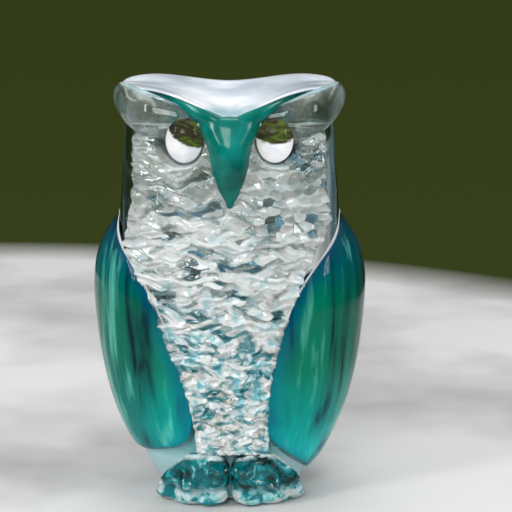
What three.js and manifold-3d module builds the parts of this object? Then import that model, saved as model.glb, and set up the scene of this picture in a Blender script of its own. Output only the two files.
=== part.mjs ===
// A crystal glass owl: a clear cast body with a hammered breast, two cased teal wings, a white saddle-shaped
// crown, clear brow lobes, foil-backed eyes, a teal beak with brow arms, and two toed feet on a ground disc.
// Millimetres. +Z is up, the owl looks along -Y and +X is to a viewer's right. The origin is under the
// middle of the owl, on the plane that it stands on.
import * as THREE from "three";
import { ParametricGeometry } from "three/addons/geometries/ParametricGeometry.js";
import { mergeVertices } from "three/addons/utils/BufferGeometryUtils.js";
import Module from "manifold-3d";

const wasm = await Module();
wasm.setup();

const { lerp, clamp, smoothstep } = THREE.MathUtils;
const SIDES = { left: -1, right: 1 };

// ---- Driving dimensions ----

const GAP = 0.3; // bond line between neighbouring pieces
const BOND = -0.8; // how far an outer layer's blank runs into the body before it is cut to fit

// Body casting. Its stations: [height, half width, half depth, squareness of the section]
const BASE_THICK = 3.2;
const CORE_FOOT = BASE_THICK + GAP;
const CORE_TOP = 104.5; // flat top of the head, under the crown
const BODY = [
  [0, 18.0, 15.4, 2.0],
  [3.5, 20.0, 17.0, 2.0],
  [10, 23.5, 19.3, 2.0],
  [16, 25.5, 20.8, 2.0],
  [26, 28.0, 22.5, 2.05],
  [40, 29.8, 24.0, 2.1],
  [55, 30.6, 24.6, 2.2],
  [68, 30.5, 24.0, 2.35],
  [79, 29.8, 22.7, 2.6],
  [92, 28.7, 21.5, 2.9],
  [106, 27.9, 20.6, 3.0],
];

// Colour core: a teal flame of glass inside the lower body. [height, half width, half depth]
const FLAME_LIFT = 0.6; // how far its foot is above the casting's
const FLAME_FOOT = CORE_FOOT + FLAME_LIFT;
const FLAME_TOP = 60;
const FLAME = [
  [3, 15, 12.5],
  [9, 19.5, 15.5],
  [17, 22, 17.5],
  [28, 22.5, 17.5],
  [42, 19, 14],
  [54, 11, 8],
  [60, 3, 3],
];

// Wings: each is a coloured layer with a clear casing over it.
const WING_TOP = 79.4;
const WING_TIP = { left: 12.5, right: 5 }; // the two were laid on by hand and differ a little
const WING_END = { low: 6, high: 4 }; // how square each end is: 2 is an ellipse
const COLOUR_SHARE = 0.58; // the coloured layer's share of the thickness
const COLOUR_INSET = 1.0; // how far the colour stays inside the casing's edge
const CASING_GAP = 0.45; // between a wing's colour and its casing
// Thickness of a cased wing over the body: [height, thickness]
const WING_THICK = [
  [3, 0.9],
  [11, 2.4],
  [23, 4.2],
  [36, 5.6],
  [47, 6.3],
  [59, 6.7],
  [65, 6.3],
  [70, 5.1],
  [74, 3.1],
  [76.5, 1.4],
  [79, 0.5],
];
// How far from the middle each wing's front edge is: [height, x]
const FRONT_EDGE = {
  left: [
    [12, 21],
    [14.5, 15.5],
    [17.5, 9.4],
    [26, 9.4],
    [36, 12],
    [45, 15.4],
    [52, 17.6],
    [60, 20.6],
    [68, 24.4],
    [80, 28.6],
  ],
  right: [
    [5, 21],
    [10, 17.5],
    [15, 13.2],
    [20, 9.6],
    [30, 9.5],
    [38, 10.4],
    [45, 12.1],
    [52, 14.1],
    [61.5, 17.2],
    [69, 20.7],
    [80, 26],
  ],
};
// The back edges, which are alike: [height, x]
const BACK_EDGE = [
  [4, 9],
  [16, 2.6],
  [40, 4.5],
  [60, 11],
  [80, 22],
];

// Breast plate: its sides are straight at the hem, run under the wings, and spread over the head above
const BREAST = { thick: 3.0, low: 14.2, high: 102, side: 27, underWing: 2 };
const BREAST_HEM = 20;
const BREAST_SPREAD = { from: 74, to: 86 };

// Crown: a saddle with its front edge in a V. It rises from the V's point to the tufts.
const CROWN = {
  half: 29.6,
  front: 24,
  back: 17.5,
  crestY: 5,
  pointZ: 106.7,
  edgeRise: 6.6,
  edgeRun: 22,
  edgeCurve: 1.25,
  dipZ: 112.8,
  tuftRise: 3.0,
  tuftX: 26,
  nape: 2.2,
  tuftUndercut: 2.6,
  rim: 1.7, // thickness of the front edge
  rimRun: 0.55, // the share of the way back to the crest over which it thickens
};
// How square the crown's plan and section are: 1 is a diamond, 2 an ellipse
const CROWN_POWER = { front: 1.65, back: 2.6, across: 2.1 };

// Brow lobe, from over the eye round the head's front corner to the tuft:
// [share of the way, x, y, z, half height, half thickness]
const BROW_SWING = 1.2;
const BROW_PATH = [
  [0, 7, -20.4, 106.0, 2.2, 2.4],
  [0.2, 11.6, -20.0, 104.9, 4.2, 2.4],
  [0.4, 16.2, -19.2, 104.4, 6.0, 3.0],
  [0.6, 20.8, -16.8, 105.8, 6.2, 4.2],
  [0.8, 25.4, -12.0, 107.6, 6.0, 4.2],
  [1, 29.7, -3.0, 110.2, 5.6, 3.8],
];

// Beak: a keeled drop down the middle of the face. [height, half width, how far it stands out]
const BEAK_ROOT = -21.6;
const BEAK = [
  [81.5, 1.0, 5.0],
  [83, 2.1, 5.3],
  [86.5, 3.4, 5.9],
  [89.2, 4.3, 6.4],
  [93, 5.1, 6.8],
  [98.3, 6.0, 7.0],
  [102.5, 7.8, 5.8],
  [106.4, 9.2, 5.0],
];
// Its two arms lie along the crown's front edge: [share of the way out, half height]
const ARM = { from: -4, to: 25.5, thick: 1.8, outerThick: 1.2, swing: 0.7, setBack: 0.5, knee: 0.8 };
const ARM_HEIGHT = [
  [0, 2.6],
  [0.41, 2.4],
  [0.55, 1.8],
  [0.7, 1.1],
  [1, 0.7],
];

// Eyes: a foil disc behind a clear cabochon, both in a socket
const EYE = { x: 11.75, y: -21.6, z: 100, radius: 4.8, tall: 1.22 };
const EYE_DEPTH = { foil: 0.5, rim: 0.8, dome: 2.6, mouth: 12 };

// Foot disc, and the two feet that stand on its front. A foot's top drops towards its outer side, and the
// foot stands out further at its sole than at its instep.
const DISC = { half: 18.6, depth: 15.9, lobes: 10, lobe: 0.018, taper: 0.93 };
const FOOT = {
  inner: 0.4,
  outer: 16.5,
  low: 0.1,
  curl: 0.5,
  instep: 2.0,
  sole: 5.9,
  knuckle: 1.5,
  toes: 3,
};
const FOOT_SQUARE = 6; // how square the edges of the disc and of a foot are: 2 is an ellipse
// The top of a foot: [share of the way to its outer side, height]
const FOOT_TOP = [
  [0, 14.1],
  [0.6, 14],
  [0.8, 11],
  [1, 6.5],
];

// How many steps each form has round it and along it
const SEGMENTS = {
  body: 40,
  bodyRows: 20,
  bar: 22,
  barRows: 18,
  foot: 38,
  footRows: 10,
  drop: 16,
  dropRows: 14,
  eye: 20,
  dome: 4,
};

// ---- Curves and closed forms ----

// A smooth curve through [t, value] stations, as a function of t.
function through(stations, column = 1) {
  const last = stations.length - 1;
  const t = (i) => stations[i][0];
  const v = (i) => stations[i][column];
  const slope = (i) => {
    const a = Math.max(i - 1, 0);
    const b = Math.min(i + 1, last);
    return (v(b) - v(a)) / (t(b) - t(a));
  };
  return (at) => {
    const x = clamp(at, t(0), t(last));
    let i = 0;
    while (i < last - 1 && x > t(i + 1)) i += 1;
    const h = t(i + 1) - t(i);
    const s = (x - t(i)) / h;
    const a = v(i) * (1 + 2 * s) * (1 - s) ** 2 + slope(i) * h * s * (1 - s) ** 2;
    const b = v(i + 1) * s * s * (3 - 2 * s) + slope(i + 1) * h * s * s * (s - 1);
    return a + b;
  };
}

const bodyWidth = through(BODY, 1);
const bodyDepth = through(BODY, 2);
const bodySquare = through(BODY, 3);
const flameWidth = through(FLAME, 1);
const flameDepth = through(FLAME, 2);
const wingThick = through(WING_THICK);
const backEdge = through(BACK_EDGE);
const footTop = through(FOOT_TOP);
const frontEdge = { left: through(FRONT_EDGE.left), right: through(FRONT_EDGE.right) };
const [browX, browY, browZ, browTall, browThick] = [1, 2, 3, 4, 5].map((column) =>
  through(BROW_PATH, column),
);
const beakHalf = through(BEAK, 1);
const beakReach = through(BEAK, 2);
const armHeight = through(ARM_HEIGHT);

const signedPower = (value, power) => Math.sign(value) * Math.abs(value) ** power;

// The height of a rounded square of the given power over x, which runs from -1 to 1.
const arch = (x, power = 4) => Math.max(0, 1 - Math.abs(x) ** power) ** (1 / power);

// A point on the body, grown outwards. phi is 0 at the front, 90 degrees at +X and 180 at the back.
function onBody(phi, z, grow, target) {
  const power = 2 / bodySquare(z);
  const x = (bodyWidth(z) + grow) * signedPower(Math.sin(phi), power);
  const y = -(bodyDepth(z) + grow) * signedPower(Math.cos(phi), power);
  return target.set(x, y, z);
}

// The angle phi at which the body, grown, is x from the middle, on its front half.
function angleAt(x, z, grow) {
  const share = clamp(x / (bodyWidth(z) + grow), 0, 1);
  return Math.asin(share ** (bodySquare(z) / 2));
}

// A flat bar's rounded section. across runs from -1 to 1, and lift from 0 underneath to 1 on top.
function barSection(turn, end) {
  const across = Math.cos(turn);
  const lift = Math.sign(Math.sin(turn)) * arch(across);
  return { across: across * end, lift: (1 + lift * end) / 2 };
}

// A height between low and high, as rise goes from 0 to pi, with finer steps near the two ends.
const heightAt = (rise, low, high) => (low + high) / 2 - ((high - low) / 2) * Math.cos(rise);

// A closed skin over a (turn, rise) grid: turn runs once round and rise from one pole to the other.
function closedForm(pointAt, around, along) {
  const geometry = new ParametricGeometry(
    (turn, rise, target) => pointAt(turn * Math.PI * 2, rise * Math.PI, target),
    around,
    along,
  );
  return solidOf(geometry);
}

// ---- Solids ----

const MERGE = 1e-4;

function solidOf(geometry) {
  const bare = new THREE.BufferGeometry();
  bare.setAttribute("position", geometry.toNonIndexed().getAttribute("position"));
  const merged = mergeVertices(bare, MERGE);
  const vertProperties = merged.attributes.position.array;
  const triVerts = new Uint32Array(merged.index.array);
  const solid = new wasm.Manifold(new wasm.Mesh({ numProp: 3, vertProperties, triVerts }));
  if (solid.volume() > 0) return solid;
  // Wound the other way round: turn each triangle over.
  for (let i = 0; i < triVerts.length; i += 3) {
    [triVerts[i + 1], triVerts[i + 2]] = [triVerts[i + 2], triVerts[i + 1]];
  }
  return new wasm.Manifold(new wasm.Mesh({ numProp: 3, vertProperties, triVerts }));
}

function geometryOf(solid) {
  const mesh = solid.getMesh();
  return new THREE.BufferGeometry()
    .setAttribute("position", new THREE.BufferAttribute(mesh.vertProperties, 3))
    .setIndex(new THREE.BufferAttribute(mesh.triVerts, 1));
}

const cut = (solid, ...tools) => tools.reduce((left, tool) => left.subtract(tool), solid);

// The biggest separate piece, without the slivers that a cut leaves.
const largest = (solid) => solid.decompose().reduce((a, b) => (a.volume() > b.volume() ? a : b));

// ---- Body casting and colour core ----

function flame(grow, foot) {
  return closedForm(
    (turn, rise, target) => {
      const end = arch(Math.cos(rise));
      const z = heightAt(rise, foot, FLAME_TOP + grow);
      const x = (flameWidth(z) + grow) * end * Math.sin(turn);
      const y = -(flameDepth(z) + grow) * end * Math.cos(turn);
      return target.set(x, y, z);
    },
    SEGMENTS.eye,
    SEGMENTS.drop,
  );
}

// The body between two heights, with flat ends.
function bodyForm(grow, low, high) {
  const rows = SEGMENTS.bodyRows;
  return closedForm(
    (turn, rise, target) => {
      const row = Math.round((rise / Math.PI) * rows);
      const level = clamp((row - 1) / (rows - 2), 0, 1);
      onBody(turn, lerp(low, high, level), grow, target);
      if (row === 0 || row === rows) target.set(0, 0, target.z);
      return target;
    },
    SEGMENTS.body,
    rows,
  );
}

const bodyBlank = bodyForm(GAP, 0, CORE_TOP);
const headBlank = bodyForm(GAP, FLAME_TOP, CORE_TOP + GAP);

// The casting has an open pocket for the colour core, closed by the foot disc.
const bodyCore = () => cut(bodyForm(0, CORE_FOOT, CORE_TOP), flame(GAP, 0));

// ---- Wings ----

// A layer of one wing over the body, up to a share of the wing's thickness.
// inset draws its edges in, and grow swells the whole layer.
function wingLayer(side, share, inset, grow) {
  const low = WING_TIP[side] + inset - grow;
  const high = WING_TOP - inset + grow;
  return closedForm(
    (turn, rise, target) => {
      const z = heightAt(rise, low, high);
      const thick = wingThick(z);
      const front = angleAt(frontEdge[side](z) + inset - grow, z, thick / 2);
      const back = Math.PI - angleAt(backEdge(z) + inset - grow, z, thick / 2);
      const end = arch(Math.cos(rise), Math.cos(rise) > 0 ? WING_END.low : WING_END.high);
      const { across, lift } = barSection(turn, end);
      const phi = (front + back) / 2 - ((back - front) / 2) * across;
      const outside = GAP + (thick - GAP) * share + grow;
      return onBody(SIDES[side] * phi, z, lerp(BOND - grow, outside, lift), target);
    },
    SEGMENTS.bar,
    SEGMENTS.barRows,
  );
}

const wingBlank = { left: wingLayer("left", 1, 0, GAP), right: wingLayer("right", 1, 0, GAP) };

const wingColour = (side) => largest(cut(wingLayer(side, COLOUR_SHARE, COLOUR_INSET, 0), bodyBlank));

function wingCasing(side) {
  const colour = wingLayer(side, COLOUR_SHARE, COLOUR_INSET, CASING_GAP);
  return largest(cut(wingLayer(side, 1, 0, 0), colour, bodyBlank));
}

// ---- Crown ----

const crownFrontY = (x) => -CROWN.front * (1 - Math.min(Math.abs(x) / CROWN.half, 1) ** CROWN_POWER.front);
const crownCrestZ = (x) => CROWN.dipZ + CROWN.tuftRise * smoothstep(Math.abs(x), 0, CROWN.tuftX);

function crownFrontZ(x) {
  const share = Math.min(Math.abs(x) / CROWN.edgeRun, 1);
  return CROWN.pointZ + CROWN.edgeRise * Math.sin((Math.PI / 2) * share) ** CROWN.edgeCurve;
}

function crown(grow) {
  return closedForm(
    (turn, rise, target) => {
      const reach = arch(Math.cos(rise));
      const front = Math.cos(turn) > 0;
      const power = 2 / (front ? CROWN_POWER.front : CROWN_POWER.back);
      const depth = front ? CROWN.front : CROWN.back;
      const x = (CROWN.half + grow) * signedPower(Math.sin(turn), 2 / CROWN_POWER.across) * reach;
      const y = -(depth + grow) * signedPower(Math.cos(turn), power) * reach;
      const frontY = crownFrontY(x);
      const share = clamp((y - frontY) / (CROWN.crestY - frontY), 0, 1);
      const behind = Math.max(0, (y - CROWN.crestY) / (CROWN.back - CROWN.crestY));
      const top = lerp(crownFrontZ(x), crownCrestZ(x), share) - CROWN.nape * behind ** 2 + grow;
      const undercut = CROWN.tuftUndercut * smoothstep(Math.abs(x), CROWN.edgeRun, CROWN.half);
      const flat = CORE_TOP + GAP + undercut - grow;
      const behindRim = smoothstep(share, 0, CROWN.rimRun);
      const foot = Math.max(flat, lerp(top - CROWN.rim - 2 * grow, flat, behindRim));
      return target.set(x, y, lerp(foot, top, (1 + Math.cos(rise)) / 2));
    },
    SEGMENTS.body,
    SEGMENTS.drop,
  );
}

const crownBlank = crown(GAP);

// ---- Eyes ----

// Turned about an eye's own axis, which points forwards. The profile holds [radius, distance forwards].
function turnedEye(side, profile) {
  const points = profile.map(([r, forwards]) => new THREE.Vector2(r, forwards));
  const turned = new THREE.LatheGeometry(points, SEGMENTS.eye)
    .rotateX(Math.PI)
    .scale(1, 1, EYE.tall)
    .translate(SIDES[side] * EYE.x, EYE.y, EYE.z);
  return solidOf(turned);
}

// A cylinder about the eye's axis, from one distance forwards to another.
const eyeDisc = (side, radius, from, to) =>
  turnedEye(side, [
    [0, from],
    [radius, from],
    [radius, to],
    [0, to],
  ]);

const eyeFoil = (side) => eyeDisc(side, EYE.radius - GAP, 0, EYE_DEPTH.foil);
const eyeSocket = (side) => eyeDisc(side, EYE.radius + GAP, -GAP, EYE_DEPTH.mouth);

function eyeLens(side) {
  const seat = EYE_DEPTH.foil + GAP;
  const profile = [
    [0, seat],
    [EYE.radius, seat],
  ];
  for (let i = 0; i < SEGMENTS.dome; i += 1) {
    const angle = (i / SEGMENTS.dome) * (Math.PI / 2);
    profile.push([EYE.radius * Math.cos(angle), seat + EYE_DEPTH.rim + EYE_DEPTH.dome * Math.sin(angle)]);
  }
  profile.push([0, seat + EYE_DEPTH.rim + EYE_DEPTH.dome]);
  return turnedEye(side, profile);
}

const sockets = [eyeSocket("left"), eyeSocket("right")];

// ---- Beak and brow lobes ----

// How blunt the ends of a drop and the beak's tip are: 0 is square and 1 an ellipse
const DROP_END = { near: 0.75, far: 0.5 };
const BEAK_TIP = 0.6;
const BEAK_TOP = 6; // how square the beak's top is: 2 is an ellipse

// A drop of glass along a path. At each step it is an oval, half tall by half thick, turned to its heading.
function drop(pathAt, tall, thick, heading) {
  const centre = new THREE.Vector3();
  return closedForm(
    (turn, rise, target) => {
      const s = (1 - Math.cos(rise)) / 2;
      const end = Math.sin(rise) ** (Math.cos(rise) > 0 ? DROP_END.near : DROP_END.far);
      pathAt(s, centre);
      const out = thick(s) * end * Math.cos(turn);
      const up = tall(s) * end * Math.sin(turn);
      const angle = heading(s);
      return target.set(centre.x + Math.sin(angle) * out, centre.y - Math.cos(angle) * out, centre.z + up);
    },
    SEGMENTS.drop,
    SEGMENTS.dropRows,
  );
}

function beakArm(side, grow) {
  const sign = SIDES[side];
  return drop(
    (s, centre) => {
      const x = lerp(ARM.from, ARM.to, s);
      const y = crownFrontY(x) - ARM.setBack - ARM.knee * s;
      return centre.set(sign * x, y, crownFrontZ(x) - ARM.setBack - armHeight(s));
    },
    (s) => armHeight(s) + grow,
    (s) => lerp(ARM.thick, ARM.outerThick, s) + grow,
    (s) => sign * s * ARM.swing,
  );
}

function beakForm(grow) {
  const low = BEAK[0][0] - grow;
  const high = BEAK[BEAK.length - 1][0] + grow;
  const keel = closedForm(
    (turn, rise, target) => {
      const tip = Math.cos(rise) > 0;
      const end = tip ? Math.sin(rise) ** BEAK_TIP : arch(Math.cos(rise), BEAK_TOP);
      const z = heightAt(rise, low, high);
      const x = (beakHalf(z) + grow) * Math.sin(turn) * end;
      const y = BEAK_ROOT - (beakReach(z) + grow) * Math.cos(turn) * end;
      return target.set(x, y, z);
    },
    SEGMENTS.drop,
    SEGMENTS.drop,
  );
  return keel.add(beakArm("left", grow)).add(beakArm("right", grow));
}

const beakBlank = beakForm(GAP);
const beak = () => largest(cut(beakForm(0), headBlank, crownBlank, ...sockets));

function browForm(side, grow) {
  const sign = SIDES[side];
  return drop(
    (s, centre) => centre.set(sign * browX(s), browY(s), browZ(s)),
    (s) => browTall(s) + grow,
    (s) => browThick(s) + grow,
    (s) => sign * s * s * BROW_SWING,
  );
}

const browLobe = (side) => largest(cut(browForm(side, 0), headBlank, crownBlank, beakBlank, ...sockets));

// ---- Breast ----

// The plate covers the front from the feet to the eyes, with its sides under the wings' edges.
function breastForm(grow) {
  const edge = (side, z) => {
    const wingEdge = frontEdge[side](Math.max(z, BREAST_HEM));
    const underWing = Math.min(wingEdge + BREAST.underWing, BREAST.side);
    return Math.max(underWing, BREAST.side * smoothstep(z, BREAST_SPREAD.from, BREAST_SPREAD.to));
  };
  return closedForm(
    (turn, rise, target) => {
      const z = heightAt(rise, BREAST.low - grow, BREAST.high + grow);
      const left = -angleAt(edge("left", z), z, BREAST.thick / 2);
      const right = angleAt(edge("right", z), z, BREAST.thick / 2);
      const { across, lift } = barSection(turn, arch(Math.cos(rise)));
      const phi = (left + right) / 2 + ((right - left) / 2) * across;
      return onBody(phi, z, lerp(BOND, BREAST.thick + grow, lift), target);
    },
    SEGMENTS.bar,
    SEGMENTS.bodyRows,
  );
}

function breastPlate() {
  const brows = [browForm("left", GAP), browForm("right", GAP)];
  return largest(
    cut(breastForm(0), bodyBlank, wingBlank.left, wingBlank.right, beakBlank, ...brows, ...sockets),
  );
}

// ---- Feet ----

// A ground disc whose edge swells into shallow lobes.
function footDisc(grow) {
  return closedForm(
    (turn, rise, target) => {
      const lift = (1 + Math.cos(rise)) / 2;
      const lobes = 1 + DISC.lobe * Math.cos(DISC.lobes * turn);
      const edge = arch(Math.cos(rise), FOOT_SQUARE) * lobes * lerp(DISC.taper, 1, lift);
      const x = (DISC.half + grow) * edge * Math.sin(turn);
      const y = -(DISC.depth + grow) * edge * Math.cos(turn);
      return target.set(x, y, (BASE_THICK + grow) * lift);
    },
    SEGMENTS.body,
    SEGMENTS.footRows,
  );
}

// A foot with its toes, pressed against the front of the body and the edge of the disc.
function foot(side) {
  const form = closedForm(
    (turn, rise, target) => {
      const { across, lift } = barSection(turn, arch(Math.cos(rise), FOOT_SQUARE));
      const share = (1 + across) / 2;
      const z = heightAt(rise, FOOT.low + FOOT.curl * across ** 2, footTop(share));
      const phi = lerp(angleAt(FOOT.inner, z, 0), angleAt(FOOT.outer, z, 0), share);
      const knuckle = FOOT.knuckle * Math.abs(Math.sin(Math.PI * FOOT.toes * share));
      const thick = lerp(FOOT.sole, FOOT.instep, z / FOOT_TOP[0][1]) + knuckle;
      return onBody(SIDES[side] * phi, z, lerp(BOND, thick, lift), target);
    },
    SEGMENTS.foot,
    SEGMENTS.footRows,
  );
  return largest(cut(form, bodyBlank, footDisc(GAP), wingBlank.left, wingBlank.right, breastForm(GAP)));
}

// ---- Assembly ----

const FINISH = {
  clear: new THREE.MeshStandardMaterial({ color: 0xe6efee, roughness: 0.03, metalness: 0 }),
  teal: new THREE.MeshStandardMaterial({ color: 0x0a7f76, roughness: 0.06, metalness: 0 }),
  white: new THREE.MeshStandardMaterial({ color: 0xe9ebf0, roughness: 0.1, metalness: 0 }),
  foil: new THREE.MeshStandardMaterial({ color: 0x4a5424, roughness: 0.08, metalness: 1 }),
};

const owl = new THREE.Group();

function add(name, solid, finish) {
  const mesh = new THREE.Mesh(geometryOf(solid), FINISH[finish]);
  mesh.name = name;
  owl.add(mesh);
}

add("body_core", bodyCore(), "clear");
add("colour_core", flame(0, FLAME_FOOT), "teal");
add("breast_plate", breastPlate(), "clear");
add("crown_cap", crown(0), "white");
add("beak", beak(), "teal");
add("foot_disc", footDisc(0), "clear");
for (const side of Object.keys(SIDES)) {
  add(`wing_${side}_colour`, wingColour(side), "teal");
  add(`wing_${side}_casing`, wingCasing(side), "clear");
  add(`brow_${side}`, browLobe(side), "clear");
  add(`eye_${side}_foil`, eyeFoil(side), "foil");
  add(`eye_${side}_lens`, eyeLens(side), "clear");
  add(`foot_${side}`, foot(side), "clear");
}

export default owl;
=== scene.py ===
from math import cos, pi, radians, sin

import bmesh
import bpy
import numpy as np
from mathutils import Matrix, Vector


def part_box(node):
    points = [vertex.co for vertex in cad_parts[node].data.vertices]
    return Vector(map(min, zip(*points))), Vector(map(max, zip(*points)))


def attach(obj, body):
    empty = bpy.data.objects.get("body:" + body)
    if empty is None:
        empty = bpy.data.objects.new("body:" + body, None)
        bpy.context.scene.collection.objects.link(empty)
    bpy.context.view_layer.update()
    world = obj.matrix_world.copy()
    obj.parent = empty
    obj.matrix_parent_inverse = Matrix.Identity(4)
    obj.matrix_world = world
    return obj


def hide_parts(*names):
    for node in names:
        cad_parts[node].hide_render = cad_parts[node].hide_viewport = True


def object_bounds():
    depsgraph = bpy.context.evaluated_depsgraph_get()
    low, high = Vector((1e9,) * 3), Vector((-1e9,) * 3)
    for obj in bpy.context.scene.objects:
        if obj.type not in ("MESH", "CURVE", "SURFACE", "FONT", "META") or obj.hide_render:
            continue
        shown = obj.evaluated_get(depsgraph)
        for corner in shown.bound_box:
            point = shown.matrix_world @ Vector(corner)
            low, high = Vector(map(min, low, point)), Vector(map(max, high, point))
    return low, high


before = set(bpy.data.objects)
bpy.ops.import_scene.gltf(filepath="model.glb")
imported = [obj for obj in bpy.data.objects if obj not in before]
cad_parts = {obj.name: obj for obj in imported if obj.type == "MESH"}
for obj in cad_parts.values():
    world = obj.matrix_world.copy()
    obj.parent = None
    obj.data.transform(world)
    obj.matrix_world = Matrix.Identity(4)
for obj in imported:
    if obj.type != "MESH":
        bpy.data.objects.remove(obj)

cad_low, cad_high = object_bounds()

# ---- Driving dimensions ----

OWL_HEIGHT = 115.08  # the height that the tables are drawn to
MM = (cad_high.z - cad_low.z) / OWL_HEIGHT


def node_box(node):
    """A CAD node's lowest and highest corners, in the owl's millimetres."""
    low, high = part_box(node)
    return np.array(low) / MM, np.array(high) / MM


core_low, core_high = node_box("body_core")
flame_low, flame_high = node_box("colour_core")
breast_low, _ = node_box("breast_plate")
crown_low, crown_high = node_box("crown_cap")
_, disc_high = node_box("foot_disc")

# Each eye: its middle at the back of its lens, its radius, and how tall it is for its width
EYES = {}
for side in ("left", "right"):
    _, foil_high = node_box(f"eye_{side}_foil")
    lens_low, lens_high = node_box(f"eye_{side}_lens")
    middle_x, _, middle_z = (lens_low + lens_high) / 2
    width, _, tall = lens_high - lens_low
    EYES[side] = np.array([middle_x, foil_high[1], middle_z]), width / 2, tall / width

FUSE = 0.8  # how far a fused piece reaches into the body
SIDES = {"left": -1, "right": 1}

BODY_EDGE = (0.6, 1.5)  # the radius of the body's lower and upper edges
# Body: [height, half width, half depth, squareness of the section]
BODY = [
    [0, 18.0, 15.4, 2.0],
    [3.5, 20.0, 17.0, 2.0],
    [10, 23.5, 19.3, 2.0],
    [16, 25.5, 20.8, 2.0],
    [26, 28.0, 22.5, 2.05],
    [40, 29.8, 24.0, 2.1],
    [55, 30.6, 24.6, 2.2],
    [68, 30.5, 24.0, 2.35],
    [79, 29.8, 22.7, 2.6],
    [92, 28.7, 21.5, 2.9],
    [106, 27.9, 20.6, 3.0],
]
# Colour core: [height, half width, half depth], and the ripples round it: [size, turns round, turns up]
FLAME_RIPPLES = [[0.05, 3, 0.09], [0.04, 5, -0.2]]
FLAME = [
    [3, 15, 12.5],
    [9, 19.5, 15.5],
    [17, 22, 17.5],
    [28, 22.5, 17.5],
    [42, 19, 14],
    [54, 11, 8],
    [60, 3, 3],
]
# Thickness of a cased wing over the body: [height, thickness]
WING_THICK = [
    [3, 0.9],
    [11, 2.4],
    [23, 4.2],
    [36, 5.6],
    [47, 6.3],
    [59, 6.7],
    [65, 6.3],
    [70, 5.1],
    [74, 3.1],
    [76.5, 1.4],
    [79, 0.5],
]
# How far from the middle a wing's edges are: [height, x]
FRONT_EDGE = {
    "left": [
        [12, 21],
        [14.5, 15.5],
        [17.5, 9.4],
        [26, 9.4],
        [36, 12],
        [45, 15.4],
        [52, 17.6],
        [60, 20.6],
        [68, 24.4],
        [80, 28.6],
    ],
    "right": [
        [5, 21],
        [10, 17.5],
        [15, 13.2],
        [20, 9.6],
        [30, 9.5],
        [38, 10.4],
        [45, 12.1],
        [52, 14.1],
        [61.5, 17.2],
        [69, 20.7],
        [80, 26],
    ],
}
# How square a wing's lower and upper ends are, and its section: 2 is an ellipse
WING_END = (6, 3)
WING_SECTION = 1.8
BACK_EDGE = [[4, 9], [16, 2.6], [40, 4.5], [60, 11], [80, 22]]
COLOUR_SHARE = 0.58  # how much of a wing's thickness its colour fills
COLOUR_INSET = 1.0  # how far inside the casing's edge the colour ends
COLOUR_LIFT = 0.3  # how far off the body the colour starts
# Hammer marks on the breast: [height, width of a mark, height of a mark, strength of the relief]
MARKS = [
    [13, 1.9, 1.4, 0.9],
    [30, 2.3, 1.6, 0.9],
    [45, 3.2, 1.9, 0.9],
    [58, 4.8, 2.4, 0.85],
    [75, 5.8, 2.8, 0.65],
    [98, 7.0, 3.4, 0.35],
]
MARK_MARGIN = 5  # how far the rows run on past the table
MARK_JITTER = (0.7, 0.6)  # how far a mark may stray from its place, across and up, in marks
MARK_EDGE = 16.0  # how sharply one mark gives way to the next
MARK_STEP = 0.4  # the most that one mark's level differs from another's
MARK_TILT = (0.9, 1.6)  # the most that a mark's slope varies, across and up
MARK_DISH = 0.9  # how hollow the most dished marks are
DOMED = 0.3  # the share of marks that are domed instead of dished
# Waves that the rows and columns of marks follow: [size in marks, radians a millimetre across, and up]
ROW_WAVES = [[0.35, 0.31, 0.2], [0.2, 0.9, -0.35]]
COLUMN_WAVES = [[0.25, 0, 0.8], [0.15, 0.6, 1.7]]
# Finer marks over the others: how many times finer, and how much they count in the relief and the tone
FINER = (2.1, 1.9)
FINE_RELIEF = 0.5
FINE_TONE = 0.45
# Ridges across the breast: [height, how far it stands out]
RIDGES = [[41.5, 0.7], [52, 0.5], [64, 0.9], [73, 0.7]]
RIDGE_WIDTH = 0.7
# how pale a ridge's crest is painted, as a highlight
RIDGE_HIGHLIGHT = 0.9
# Waves that each ridge follows: [size, radians a millimetre across, and by its height]
RIDGE_WAVES = [[0.9, 0.22, 1], [0.4, 0.7, -1]]
# Small bubbly marks high on the breast's right: their width and height, relief, and where they begin
BUBBLE = (2.7, 2.3)
BUBBLE_RELIEF = 0.8
BUBBLY_X = (2, 9)
BUBBLY_Z = (70, 78)
BREAST_THICK = 2.6
BREAST_TOP = 104.5
BREAST_FRONT = 0.85  # the share of a turn round the plate that its front takes
BREAST_END = 12  # how square the plate's lower and upper ends are
BREAST_KEY = 0.5  # how much deeper the plate's middle sits in the body than its edges
HEAD_PLATE = 27.5  # how far from the middle the plate reaches on the head
UNDER_WING = 2  # how far the plate runs under a wing's edge
SPREAD_Z = (74, 86)  # the heights between which the plate widens from the wings to the whole head
HEM = 20  # the height below which the breast's sides are straight
EDGE_FADE = (1.6, 5.0)  # how wide the plate's thinning edge is, beside the wings and on the head
EDGE_FADE_Z = (74, 88)
HEM_FADE = 1.2
EYE_FADE = (0.95, 1.3)  # where the plate thins out round an eye, in eye radii
# Feet: how far from the middle each one's inner and outer sides are
FOOT_INNER = 0.1
FOOT_OUTER = 16.5
FOOT_SOLE = (0.1, 0.5)  # the sole's height, and the lift of its sides
FOOT_THICK = (5.9, 2.4)  # on the ground and at the top
# How square a foot's ends and its section are: 2 is an ellipse
FOOT_END = 5
FOOT_SQUARE = 3.5
# The top of a foot: [share of the way to its outer side, height]
FOOT_TOP = [[0, 15.0], [0.6, 14.9], [0.8, 11.6], [1, 7.0]]
TOES = 3
TOE_DEPTH = 1.5
TOE_POWER = 0.8
TOE_MARK = (3.3, 2.6)
TOE_RELIEF = 0.8
TOE_RADIUS = 20  # turns an angle round the body into millimetres
DISC_RIPPLES = (10, 0.018)  # how many, and how deep for the disc's radius
DISC_TAPER = 0.93  # its width on the ground, as a share of its width above
DISC_EDGE = 6  # how square its section is
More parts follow.
